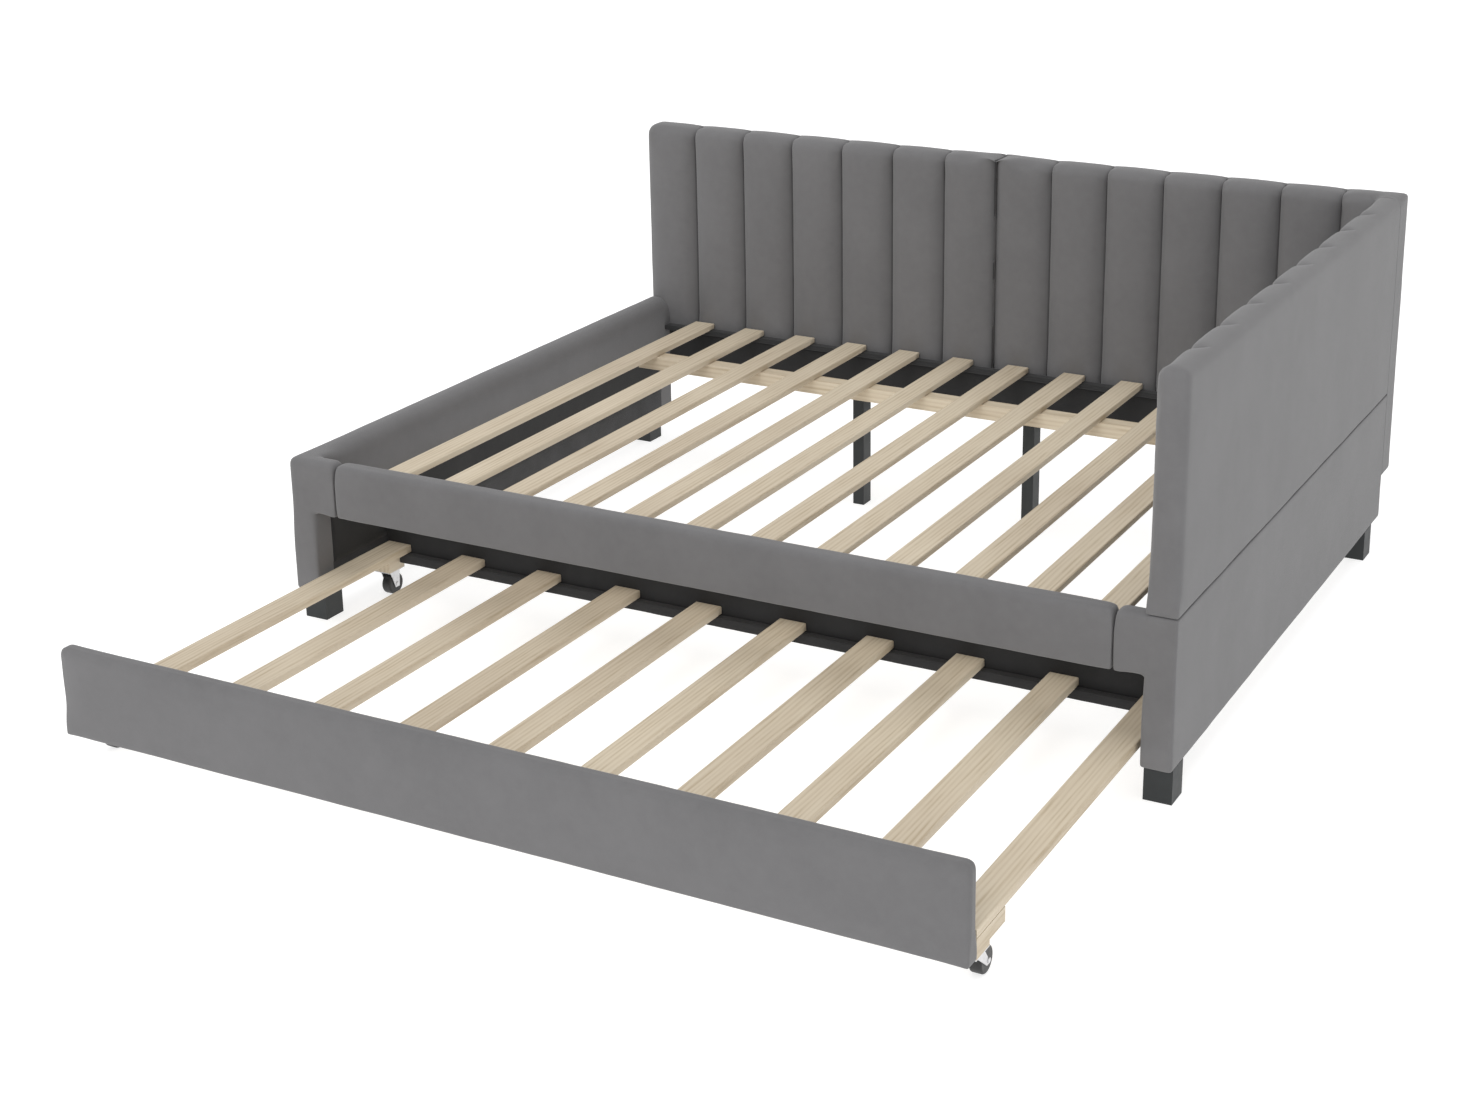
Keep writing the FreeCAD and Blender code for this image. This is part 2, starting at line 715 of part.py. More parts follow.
def trundle_slats():
    for index in range(TRUNDLE_SLAT_COUNT):
        x = "trundle_slat_first + %d * trundle_slat_pitch" % index
        slat("trundle_slat_%02d" % (index + 1), x, "trundle_inner_front", "trundle_slat_bottom",
             "trundle_slat_width", "trundle_slat_length", "trundle_slat_thickness")


def caster_corners():
    """Each caster's name, its block's low corner in x and y, and whether it is at the front."""
    for side in ("left", "right"):
        x = mirrored(side, "trundle_slat_first", "block_width")
        yield "front_" + side, x, "trundle_inner_front", True
        yield "rear_" + side, x, "rear_block_front", False


def caster_block(name, x, y, at_front):
    """A wooden block under a slat. At the front it has a longer step under the slat."""
    body = new_body("caster_block_" + name, x, y, "block_bottom")
    add_block(body, "0", "0", "0", "block_width", "block_length", "block_height")
    if at_front:
        add_block(body, "0", "block_length", "block_height - block_step_height", "block_width",
                  "block_step_length - block_length", "block_step_height")
    return body


def trail(name):
    """How far a caster's axle is behind the middle of its block."""
    return name.split("_")[0] + "_trail"


def axle_from_block(name):
    return "block_length / 2 + " + trail(name)


def caster_fork(name, x, y):
    """A plate with two tapered cheeks, raked back to the axle that they hold."""
    body = new_body("caster_fork_" + name, x, y, "cheek_bottom")
    add_block(body, "0", "0", "cheek_height", "block_width", "block_length", "plate_thickness")
    taper = "(cheek_top_width - cheek_foot_width) / 2"
    rake = "%s + %s" % (taper, trail(name))
    foot = "(block_length - cheek_foot_width) / 2 + " + trail(name)
    first = "(block_width - fork_outside) / 2"
    for cheek_x in (first, "%s + cheek_thickness + fork_inside" % first):
        sketch = new_sketch(body, "YZ_Plane", foot, "0", cheek_x)
        draw_outline(
            sketch,
            [
                ("0", "0"),
                ("cheek_foot_width", "0"),
                ("cheek_foot_width + %s - %s" % (taper, trail(name)), "cheek_height"),
                ("-(%s)" % rake, "cheek_height"),
            ],
            [
                ("Horizontal", 0, None, None),
                ("Horizontal", 2, None, None),
                ("DistanceX", 0, 1, "cheek_foot_width"),
                ("DistanceX", 3, 2, "cheek_top_width"),
                ("DistanceX", 3, 0, rake),
                ("DistanceY", 0, 3, "cheek_height"),
            ],
        )
        pad(body, sketch, "cheek_thickness")
        drill_x(body, cheek_x, axle_from_block(name), "axle_height - cheek_bottom",
                "cheek_thickness", "bore_diameter")
    return body


def caster_axle(name, x, y):
    """A riveted axle: a shaft with a flat head outside each cheek."""
    end = "%s + (block_width - fork_outside) / 2" % x
    shaft = cylinder("axle_shaft", "axle_diameter", "fork_outside")
    low_head = cylinder("axle_low_head", "rivet_head_diameter", "rivet_head_height")
    high_head = cylinder("axle_high_head", "rivet_head_diameter", "rivet_head_height")
    bind(low_head, "Placement.Base.z", "-rivet_head_height")
    bind(high_head, "Placement.Base.z", "fork_outside")
    axle = doc.addObject("Part::MultiFuse", "caster_axle_" + name)
    axle.Shapes = [shaft, low_head, high_head]
    axle.Placement.Rotation = FreeCAD.Rotation(FreeCAD.Vector(0, 1, 0), 90)
    place(axle, end, "%s + %s" % (y, axle_from_block(name)), "axle_height")
    return axle


def caster_wheel(name, x, y):
    body = new_body("caster_wheel_" + name, "%s + (block_width - wheel_width) / 2" % x,
                    "%s + %s" % (y, axle_from_block(name)), "axle_height")
    tread = new_sketch(body, "YZ_Plane", "0", "0", "0")
    draw_circle(tread, "wheel_diameter")
    pad(body, tread, "wheel_width")
    round_edges(body, "wheel_round", is_circle)
    drill_x(body, "0", "0", "0", "wheel_width", "bore_diameter")
    keep(body)


def casters():
    blocks = []
    forks = []
    axles = []
    for name, x, y, at_front in caster_corners():
        blocks.append(caster_block(name, x, y, at_front))
        forks.append(caster_fork(name, x, y))
        axles.append(caster_axle(name, x, y))
        caster_wheel(name, x, y)
    group("caster_blocks", blocks)
    group("caster_forks", forks)
    group("caster_axles", axles)


for end in ("left", "right"):
    end_panel_cover(end)
    end_panel_frame(end)
    end_panel_lining(end)
    back_half(end)
tall_panel()
back_trim()
front_rail()
main_slats()
center_support()
corner_legs()
frame_bolts()
leg_bolts()
trundle_front()
trundle_rear()
trundle_slats()
casters()
doc.recompute()

for item in doc.Objects:
    if "Invalid" in item.State or "Error" in item.State:
        raise RuntimeError("%s failed: %s" % (item.Label, item.State))
for item in subparts:
    if item.Shape.isNull() or not item.Shape.isValid():
        raise RuntimeError(item.Label + ": no valid shape")
for item in subparts:
    item.Shape.exportStep("parts/%s.step" % item.Label)
print(len(subparts), "sub-parts written")
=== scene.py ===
import math

import bpy
import numpy as np
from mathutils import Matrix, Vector, noise


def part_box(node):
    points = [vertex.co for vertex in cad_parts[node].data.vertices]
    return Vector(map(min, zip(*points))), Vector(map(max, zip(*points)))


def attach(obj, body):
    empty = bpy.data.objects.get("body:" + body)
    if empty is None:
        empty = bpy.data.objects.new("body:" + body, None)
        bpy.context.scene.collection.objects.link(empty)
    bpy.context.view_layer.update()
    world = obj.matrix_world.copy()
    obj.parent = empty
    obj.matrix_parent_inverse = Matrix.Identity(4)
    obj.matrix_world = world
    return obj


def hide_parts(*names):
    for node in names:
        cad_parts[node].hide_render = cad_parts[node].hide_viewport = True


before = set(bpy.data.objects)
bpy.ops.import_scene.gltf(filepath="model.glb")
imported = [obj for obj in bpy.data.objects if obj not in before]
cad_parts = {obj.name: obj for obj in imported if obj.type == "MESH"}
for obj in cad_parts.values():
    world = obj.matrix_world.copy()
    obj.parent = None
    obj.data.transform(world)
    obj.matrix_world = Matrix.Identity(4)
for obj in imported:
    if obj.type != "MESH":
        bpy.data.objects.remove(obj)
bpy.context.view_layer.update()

# Sizes are in metres, in the CAD model's frame. Places come from the CAD nodes' boxes.
X, Y, Z = range(3)
SNAP = 0.001  # points this near a plane lie on it

# ---------------------------------------------------------------- the covers' sizes

BACK_CHANNELS = 7  # on each half of the back
ARM_CHANNELS = 9
BACK_SEAM_DEPTH = 0.02  # how deep a seam sits under its channels' faces
ARM_SEAM_DEPTH = 0.014
BACK_OVER_TOP = 0.42  # the seams' depth over the back's top, as a share
ARM_OVER_TOP = 0.9
SEAM_SHOULDER = 0.03  # width of the rolled edge beside a seam
BACK_CROWN = 0.005  # how much a channel's middle stands over its edges
ARM_CROWN = 0.003

BACK_FRONT_RADIUS = 0.036
BACK_REAR_RADIUS = 0.013
BACK_TOP_RADIUS = 0.03
BACK_END_RADIUS = 0.026
JOINT_RADIUS = 0.004  # each side of the joint in the middle of the back
CORNER_RADIUS = 0.011  # the back's rear corner behind the arm
ARM_RADIUS = 0.024
PANEL_RADIUS = 0.036  # over a low end panel's top
OUTER_RADIUS = 0.019  # along that panel's outer face
HEM_RADIUS = 0.008
CREASE_RADIUS = 0.005  # where the arm stands on the right end panel
RAIL_RADIUS = 0.017
TRUNDLE_RADIUS = 0.018
LOW_EDGE_RADIUS = 0.005  # under the front rail and the trundle's front
SEAM_END_RADIUS = 0.003  # beside the seam between the front rail and a return
SEAM_END_LOW_RADIUS = 0.007
DEPTH_SHARE = 0.75  # the boards' edges are rounded less in depth than in height

# Bands in which one radius or depth passes into another: where the second one begins
# to show and where it is full, as distances from the edge that the comment names.
OUTER_BAND = (0.016, 0.046)  # an end panel's outer face
POST_BAND = (0.07, 0.01)  # the front rail's rear face
PANEL_HEM_BAND = (0.1, 0.22)  # an end panel's underside
SEAM_END_BAND = (0.034, 0.014)  # the end of the rail or of a return
SEAM_TOP_BAND = (0.045, 0.005)  # the rail's top
SEAM_LOW_BAND = (0.03, 0.005)  # the rail's underside
BOARD_BAND = (0.02, 0.07)  # the underside of the rail or of the trundle's front
REAR_BAND = (0.036, 0.056)  # the back's front face
JOINT_BAND = (0.08, 0.02)  # the joint in the middle of the back
BACK_HEM_BAND = (0.08, 0.02)  # the back's underside
CORNER_BAND = (0.0, 0.06)  # the back's front face, behind the arm
CREASE_BAND = (0.06, 0.01)  # the arm's underside
DIMPLE_BAND = (0.052, 0.0156)  # the arm's inner face: its seams run over its top
BACK_END_BAND = (0.0, 0.01)  # the end panels: no seam shows over the back beside them

INNER_PROUD = 0.0012  # cloth over the boards' inner faces
UNDER_ARM = 0.004  # how far the right panel's front top runs on under the arm
JOINT_OVERLAP = 0.0004  # the two halves of the back are pressed together
RAIL_END_GAP = 0.0014  # between the front rail and each return
BEYOND = 0.08  # how far a block runs on past an end that stays square

# Grid lines of the meshes: their pitch along X, Y and Z, and the extra ones beside marks.
PANEL_GRID = (0.012, 0.02, 0.016)
BACK_GRID = (0.018, 0.012, 0.02)
ARM_GRID = (0.014, 0.02, 0.02)
BOARD_GRID = (0.022, 0.01, 0.014)
WRAP_GRID = (0.02, 0.02, 0.02)
SHEET_GRID = 0.012
SHEET_LEAST_CELLS = 6
EDGE_LINES = (0.0, 0.0035, 0.009, 0.016, 0.025)
SEAM_LINES = (0.0022, 0.006, 0.012, 0.02, 0.03)
STEP_LINES = (0.005, 0.012)
INNER_LINES = (0.004, 0.01)
CLOSEST_LINES = 0.0012

# The cloth simulation, and the most that it may move a point.
CLOTH_FRAMES = 20
CLOTH_PRESSURE = 4.0
CLOTH_QUALITY = 5
COVER_INSET = 0.0008  # the covers start this much smaller, since they swell
EDGE_CAP = 0.0012
FACE_CAP = 0.0035
LOW_CAP = 0.0003  # on the back below the slats' tops
CHANNEL_CAP = 0.3  # on a channel, as a share of its seams' depth
FACE_BAND = (0.0, 0.06)  # from the cap at an edge to the cap on a face
LOW_FACE_BAND = (0.0, 0.04)
LOW_FACE = 0.329  # the slats' tops: a cover stays flat below them

# How far a cover or cloth departs from a smooth face: size, scale and offset of noise.
COVER_UNEVEN = ((0.0006, 7.0, 3.0), (0.0003, 24.0, 9.0))
WRAP_UNEVEN = (0.0006, 30.0, 4.0)
SHEET_UNEVEN = (0.5, 9.0, 2.0)  # as a share of its slack


# ---------------------------------------------------------------- small helpers

def corners(node):
    low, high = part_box(node)
    return np.array(low), np.array(high)


def smooth(t):
    t = np.clip(t, 0.0, 1.0)
    return t * t * (3 - 2 * t)


def ease(distance, band):
    """From 0 at the band's first distance to 1 at its second one."""
    start, end = band
    return smooth((distance - start) / (end - start))


def mix(a, b, share):
    return a + (b - a) * share


def touching(points, axis, place):
    """Which points lie on the plane at that place on the axis."""
    return np.abs(points[:, axis] - place) < SNAP


def coordinates(mesh):
    flat = np.empty(len(mesh.vertices) * 3)
    mesh.vertices.foreach_get("co", flat)
    return flat.reshape(-1, 3)


def set_coordinates(mesh, points):
    flat = np.ascontiguousarray(points, dtype=np.float32).ravel()
    mesh.vertices.foreach_set("co", flat)
    mesh.update()


def vertex_normals(mesh):
    flat = np.empty(len(mesh.vertices) * 3, np.float32)
    mesh.vertex_normals.foreach_get("vector", flat)
    return flat.reshape(-1, 3).astype(float)


def noise_at(points, scale, offset):
    """Smooth noise from -1 to 1 at each point, with features about 1 / scale wide."""
    shift = Vector((offset, offset * 0.7, -offset))
    return np.array([noise.noise(Vector(p) * scale + shift) for p in points])


def smooth_faces(mesh):
    mesh.polygons.foreach_set("use_smooth", [True] * len(mesh.polygons))


def new_object(name, points, faces):
    mesh = bpy.data.meshes.new(name)
    mesh.from_pydata([tuple(p) for p in points], [], [tuple(f) for f in faces])
    mesh.update()
    smooth_faces(mesh)
    obj = bpy.data.objects.new(name, mesh)
    bpy.context.scene.collection.objects.link(obj)
    return obj


def apply_modifiers(obj):
    """Gives an object the mesh that its modifiers make, and drops them."""
    depsgraph = bpy.context.evaluated_depsgraph_get()
    mesh = bpy.data.meshes.new_from_object(obj.evaluated_get(depsgraph))
    obj.modifiers.clear()
    obj.data = mesh


# ---------------------------------------------------------------- grid shells

def grid_lines(start, end, step, marks=(), beside=()):
    """Grid lines from start to end: close together at both ends and beside the marks."""
    kept = [start, end, *marks]
    close = [start + d for d in EDGE_LINES] + [end - d for d in EDGE_LINES]
    close += [m + side * d for m in marks for d in beside for side in (-1, 1)]
    for place in close:
        inside = start < place < end
        if inside and min(abs(place - k) for k in kept) > CLOSEST_LINES:
            kept.append(place)
    kept.sort()
    lines = []
    for a, b in zip(kept, kept[1:]):
        count = max(1, round((b - a) / step))
        lines.extend(a + (b - a) * i / count for i in range(count))
    return lines + [end]


def box_lines(low, high, steps, marks=None):
    """Grid lines along all three axes of a box; marks is {axis: (places, beside)}."""
    marks = marks or {}
    return [grid_lines(low[axis], high[axis], steps[axis], *marks.get(axis, ()))
            for axis in (X, Y, Z)]


def grid_shell(boxes, lines):
    """Points and quads of the closed surface round a union of boxes, on grid lines."""
    axes = [np.array(a) for a in lines]
    middles = np.meshgrid(*[(a[1:] + a[:-1]) / 2 for a in axes], indexing="ij")
    filled = np.zeros(middles[0].shape, bool)
    for low, high in boxes:
        filled |= np.logical_and.reduce(
            [(m > low[i]) & (m < high[i]) for i, m in enumerate(middles)]
        )
    filled = np.pad(filled, 1).astype(int)
    shape = [len(a) for a in axes]
    quads = []
    for axis in (X, Y, Z):
        trim = [slice(1, -1)] * 3
        trim[axis] = slice(None)
        step = np.diff(filled, axis=axis)[tuple(trim)]
        across = (axis + 1) % 3, (axis + 2) % 3
        for sign in (-1, 1):
            cells = np.argwhere(step == sign)
            loop = []
            for du, dv in ((0, 0), (1, 0), (1, 1), (0, 1)):
                corner = cells.copy()
                corner[:, across[0]] += du
                corner[:, across[1]] += dv
                loop.append(np.ravel_multi_index(corner.T, shape))
            quad = np.stack(loop, 1)
            quads.append(quad[:, ::-1] if sign == 1 else quad)
    quads = np.concatenate(quads)
    used, faces = np.unique(quads, return_inverse=True)
    index = np.unravel_index(used, shape)
    points = np.stack([a[i] for a, i in zip(axes, index)], 1)
    return points, faces.reshape(quads.shape)


def round_over(points, blocks):
    """Rounds the edges of a union of blocks: low corner, high corner, radii by point.

    Gives the moved points and their outward directions.
    """
    nearest = np.full(len(points), np.inf)
    moved, normals = points.copy(), np.zeros_like(points)
    for low, high, radii in blocks:
        core = np.clip(points, low + radii, high - radii)
        away = points - core
        far = np.linalg.norm(away / radii, axis=1)
        outside = (far - 1) * radii.min(axis=1)
        nearer = outside < nearest - 1e-7
        normal = away / radii ** 2
        normal /= np.maximum(np.linalg.norm(normal, axis=1), 1e-9)[:, None]
        nearest[nearer] = outside[nearer]
        moved[nearer] = (core + away / np.maximum(far, 1.0)[:, None])[nearer]
        normals[nearer] = normal[nearer]
    return moved, normals


def three(radius):
    """The same radius along all three axes."""
    return np.repeat(radius[:, None], 3, axis=1)


# ---------------------------------------------------------------- padded pieces

padded_pieces = []


class Padded:
    """A padded cover: its mesh, its points' outward directions and what holds them."""

    front_facing = (0.05, 0.8)  # how much a normal faces forward where seams are full
    top_facing = (-0.75, -0.15)  # and where they run over the top
    least_seam = 0.05  # the share of a seam's depth from which it is held and creased

    def __init__(self, name, boxes, lines, blocks):
        points, faces = grid_shell(boxes, lines)
        self.name = name
        self.faces = faces
        self.flat = points
        self.points, self.normals = round_over(
            points, [(low, high, radii(points)) for low, high, radii in blocks])
        self.points = self.points - self.normals * COVER_INSET
        self.pinned = np.zeros(len(points), bool)
        self.creased = np.zeros(len(points), bool)
        low = np.min([b[0] for b in boxes], axis=0)
        high = np.max([b[1] for b in boxes], axis=0)
        inward = np.sort(np.minimum(points - low, high - points), axis=1)[:, 1]
        self.cap = mix(EDGE_CAP, FACE_CAP, ease(inward, FACE_BAND))
        padded_pieces.append(self)

    def channels(self, along, seams, pitch, face, over_top, depth, crown):
        """Sinks sewn seams with rolled shoulders into the side that faces `face`.

        over_top is how deep they run over the top, as a share: a number or an array.
        """
        apart = np.min(np.abs(along[:, None] - np.array(seams)[None, :]), axis=1)
        t = np.clip(1 - apart / SEAM_SHOULDER, 0, 1)
        rolled = depth * (1 - np.sqrt(1 - t * t))
        crowned = crown * np.clip(1 - 2 * apart / pitch, 0, 1) ** 2
        facing = self.normals @ np.array(face, float)
        front = ease(facing, self.front_facing)
        over = over_top * ease(facing, self.top_facing) * (1 - front)
        weight = front + over
        self.points = self.points - self.normals * ((rolled + crowned) * weight)[:, None]
        on_seam = (apart < 1e-5) & (weight > self.least_seam)
        self.pinned |= on_seam
        self.creased |= on_seam
        self.cap = mix(self.cap, depth * CHANNEL_CAP, front)

    def build(self):
        self.object = new_object(self.name, self.points, self.faces)

    def start_cloth(self):
        group = self.object.vertex_groups.new(name="held")
        group.add(np.flatnonzero(self.pinned).tolist(), 1.0, "REPLACE")
        cloth = self.object.modifiers.new("Cloth", "CLOTH")
        settings = cloth.settings
        settings.vertex_group_mass = "held"
        settings.quality = CLOTH_QUALITY
        settings.use_pressure = True
        settings.uniform_pressure_force = CLOTH_PRESSURE
        settings.effector_weights.gravity = 0
        cloth.point_cache.frame_start = 1
        cloth.point_cache.frame_end = CLOTH_FRAMES

    def take_cloth(self, depsgraph):
        """Takes the cloth's shape with each move capped, and drops the modifier."""
        made = coordinates(self.object.evaluated_get(depsgraph).data)
        self.object.modifiers.clear()
        self.object.vertex_groups.clear()
        move = made - self.points
        far = np.linalg.norm(move, axis=1)
        share = self.cap * np.tanh(far / self.cap) / np.maximum(far, 1e-9)
        self.points = self.points + move * share[:, None]
        set_coordinates(self.object.data, self.points)

    def finish_mesh(self):
        """Subdivides once with the seams creased, then makes the cover slightly uneven."""
        mesh = self.object.data
        crease = mesh.attributes.new("crease_edge", "FLOAT", "EDGE")
        ends = np.empty(len(mesh.edges) * 2, int)
        mesh.edges.foreach_get("vertices", ends)
        ends = ends.reshape(-1, 2)
        sharp = self.creased[ends[:, 0]] & self.creased[ends[:, 1]]
        crease.data.foreach_set("value", sharp.astype(np.float32))
        divide = self.object.modifiers.new("Subdivision", "SUBSURF")
        divide.levels = divide.render_levels = 1
        apply_modifiers(self.object)
        fine = self.object.data
        points, normals = coordinates(fine), vertex_normals(fine)
        uneven = sum(size * noise_at(points, scale, offset)
                     for size, scale, offset in COVER_UNEVEN)
        set_coordinates(fine, points + normals * uneven[:, None])
        smooth_faces(fine)


rail_low, rail_high = corners("front_rail_cover")
arm_low, arm_high = corners("tall_panel_cover")
side_thickness = arm_high[X] - arm_low[X]


def seam_end_radii(p, bottom, top):
    """Radii beside the seam between the rail and a return: open only near the top."""
    r = mix(SEAM_END_RADIUS, RAIL_RADIUS, ease(top - p[:, Z], SEAM_TOP_BAND))
    return three(mix(r, SEAM_END_LOW_RADIUS, ease(p[:, Z] - bottom, SEAM_LOW_BAND)))


def end_panel(node, name, under_arm):
    """A low end panel with the post and the short return at its front, in one cover.

    The left one has a rounded top. The right one is its mirror image under the arm.
    """
    low, high = corners(node)
    side_low, side_high = low.copy(), high.copy()
    return_low, return_high = low.copy(), high.copy()
    if under_arm:
        side_low[X] = high[X] - side_thickness - INNER_PROUD
        inner = side_low[X]
    else:
        side_high[X] = low[X] + side_thickness + INNER_PROUD
        inner = side_high[X]
    return_high[Y] = rail_high[Y]
    return_low[Z] = rail_low[Z]

    def from_outside(p):
        return high[X] - p[:, X] if under_arm else p[:, X] - low[X]

    def side_radii(p):
        if under_arm:
            top = np.full(len(p), CREASE_RADIUS)
            covered = p[:, X] >= arm_low[X] + UNDER_ARM
        else:
            top = mix(OUTER_RADIUS, PANEL_RADIUS, ease(from_outside(p), OUTER_BAND))
            covered = False
        front_top = np.where(covered, CREASE_RADIUS, RAIL_RADIUS)
        top = mix(top, front_top, ease(p[:, Y] - rail_high[Y], POST_BAND))
        return three(mix(HEM_RADIUS, top, ease(p[:, Z] - low[Z], PANEL_HEM_BAND)))

    def return_radii(p):
        end_gap = (high[X] - low[X]) - from_outside(p)
        at_end = ease(end_gap, SEAM_END_BAND)[:, None]
        end_radii = seam_end_radii(p, return_low[Z], return_high[Z])
        return mix(side_radii(p), end_radii, at_end)

    boxes = [(side_low, side_high), (return_low, return_high)]
    open_back = side_high + np.array([0.0, BEYOND, 0.0])
    blocks = [
        (side_low, open_back, side_radii),
        (return_low, return_high, return_radii),
    ]
    lines = box_lines(low, high, PANEL_GRID, {
        X: ([inner], INNER_LINES),
        Y: ([rail_high[Y]], STEP_LINES),
        Z: ([rail_low[Z]], STEP_LINES),
    })
    piece = Padded(name, boxes, lines, blocks)
    p = piece.flat
    faces_in = p[:, X] < inner + SNAP if under_arm else p[:, X] > inner - SNAP
    piece.pinned |= faces_in & (p[:, Z] < LOW_FACE)
    piece.pinned |= touching(p, Y, high[Y]) | touching(p, Z, low[Z])
    piece.pinned |= touching(p, X, low[X] if under_arm else high[X])
    if under_arm:
        piece.pinned |= touching(p, Z, high[Z]) & (p[:, X] > arm_low[X] + SNAP)
    return piece


def back_half(node, name, is_left):
    """One half of the back: sewn channels in front, a plain rear, a joint at one end."""
    low, high = corners(node)
    joint, end = (high[X], low[X]) if is_left else (low[X], high[X])
    pitch = (high[X] - low[X]) / BACK_CHANNELS

    def radii(p):
        r = np.empty((len(p), 3))
        r[:, X] = BACK_END_RADIUS
        r[:, Y] = mix(BACK_FRONT_RADIUS, BACK_REAR_RADIUS,
                      ease(p[:, Y] - low[Y], REAR_BAND))
        r[:, Z] = BACK_TOP_RADIUS
        by_joint = ease(np.abs(p[:, X] - joint), JOINT_BAND)[:, None]
        by_hem = ease(p[:, Z] - low[Z], BACK_HEM_BAND)[:, None]
        return mix(mix(r, np.minimum(r, JOINT_RADIUS), by_joint), HEM_RADIUS, by_hem)

    def arm_end_radii(p):
        return three(mix(ARM_RADIUS, CORNER_RADIUS, ease(p[:, Y] - low[Y], CORNER_BAND)))

    blocks = [(low, high, radii)]
    marks = []
    if not is_left:
        behind_arm = np.array([arm_low[X], low[Y] - BEYOND, low[Z]])
        blocks.append((behind_arm, high, arm_end_radii))
        marks = [arm_low[X]]
    seams = [low[X] + pitch * i for i in range(1, BACK_CHANNELS)]
    lines = box_lines(low, high, BACK_GRID, {X: (seams + marks, SEAM_LINES)})
    piece = Padded(name, [(low, high)], lines, blocks)
    p = piece.flat
    from_panel = np.abs(p[:, X] - end) - side_thickness
    over_top = BACK_OVER_TOP * ease(from_panel, BACK_END_BAND)
    piece.channels(p[:, X], seams + [joint], pitch, (0, -1, 0), over_top,
                   BACK_SEAM_DEPTH, BACK_CROWN)
    piece.cap = mix(LOW_CAP, piece.cap, ease(p[:, Z] - LOW_FACE, LOW_FACE_BAND))
    piece.pinned |= touching(p, Y, high[Y]) | touching(p, Z, low[Z])
    at_joint = touching(p, X, joint)
    piece.points[at_joint, X] = joint + JOINT_OVERLAP * (1 if is_left else -1)
    piece.pinned |= at_joint | touching(p, X, end)
    return piece


def tall_arm(node, name):
    """The arm on the right end panel: sewn channels on its inner face and over its top."""
    low, high = corners(node)
    pitch = (high[Y] - low[Y]) / ARM_CHANNELS

    def radii(p):
        by_crease = ease(p[:, Z] - low[Z], CREASE_BAND)
        return three(mix(ARM_RADIUS, CREASE_RADIUS, by_crease))

    seams = [low[Y] + pitch * i for i in range(1, ARM_CHANNELS)]
    lines = box_lines(low, high, ARM_GRID, {Y: (seams, SEAM_LINES)})
    open_back = high + np.array([0.0, BEYOND, 0.0])
    piece = Padded(name, [(low, high)], lines, [(low, open_back, radii)])
    p = piece.flat
    over_top = ARM_OVER_TOP * ease(p[:, X] - low[X], DIMPLE_BAND)
    piece.channels(p[:, Y], seams, pitch, (-1, 0, 0), over_top,
                   ARM_SEAM_DEPTH, ARM_CROWN)
    piece.pinned |= touching(p, Y, high[Y]) | touching(p, Z, low[Z])
    piece.pinned |= touching(p, X, high[X])
    return piece


def front_board(node, name, edge_radius, held_behind, end_radii=None, end_gap=0.0):
    """A padded rail or trundle front: a long board, its cover rolled over the edges.

    Its rear face is held up to the height held_behind.
    """
    low, high = corners(node)
    low[X] += end_gap
    high[X] -= end_gap

    def radii(p):
        r = three(mix(LOW_EDGE_RADIUS, edge_radius, ease(p[:, Z] - low[Z], BOARD_BAND)))
        r[:, Y] *= DEPTH_SHARE
        if end_radii:
            from_end = np.minimum(p[:, X] - low[X], high[X] - p[:, X])
            at_end = ease(from_end, SEAM_END_BAND)[:, None]
            r = mix(r, end_radii(p, low[Z], high[Z]), at_end)
        return r

    lines = box_lines(low, high, BOARD_GRID)
    piece = Padded(name, [(low, high)], lines, [(low, high, radii)])
    p = piece.flat
    piece.pinned |= touching(p, Y, high[Y]) & (p[:, Z] < held_behind)
    piece.pinned |= touching(p, X, low[X]) | touching(p, X, high[X])
    return piece


left_panel = end_panel("left_panel_cover", "left_panel_upholstery", False)
right_panel = end_panel("right_panel_cover", "right_panel_upholstery", True)
back_left = back_half("back_cover_left", "back_upholstery_left", True)
back_right = back_half("back_cover_right", "back_upholstery_right", False)
arm = tall_arm("tall_panel_cover", "tall_panel_upholstery")
rail = front_board("front_rail_cover", "front_rail_upholstery", RAIL_RADIUS,
                   LOW_FACE, seam_end_radii, RAIL_END_GAP)
trundle_top = corners("trundle_front_cover")[1][Z]
trundle_front = front_board("trundle_front_cover", "trundle_front_upholstery",
                            TRUNDLE_RADIUS, trundle_top)

scene = bpy.context.scene
for piece in padded_pieces:
    piece.build()
for piece in padded_pieces:
    piece.start_cloth()
scene.frame_start, scene.frame_end = 1, CLOTH_FRAMES
for number in range(1, CLOTH_FRAMES + 1):
    scene.frame_set(number)
depsgraph = bpy.context.evaluated_depsgraph_get()
for piece in padded_pieces:
    piece.take_cloth(depsgraph)
scene.frame_set(1)
for piece in padded_pieces:
    piece.finish_mesh()


# ---------------------------------------------------------------- black cloth

TACK_PITCH = 0.09
SHEET_THICKNESS = 0.0006
SHEET_LIFT = 0.0006  # the least distance from the face that it is tacked to
SHEET_SLACK = 0.0022  # how far it bulges between its edges
SHEET_PUCKER = 0.0012  # and between its tacks
PUCKER_REACH = 0.012
SLACK_BAND = (0.0, 0.03)  # from a sheet's edge


def wrapped_board(node, name, radius):
    """A thin board wrapped in cloth, with softened edges and a slightly uneven face."""
    low, high = corners(node)
    points, faces = grid_shell([(low, high)], box_lines(low, high, WRAP_GRID))
    radii = np.full(points.shape, radius)
    points, normals = round_over(points, [(low, high, radii)])
    size, scale, offset = WRAP_UNEVEN
    sink = size * (1 + noise_at(points, scale, offset))
    return new_object(name, points - normals * sink[:, None], faces)


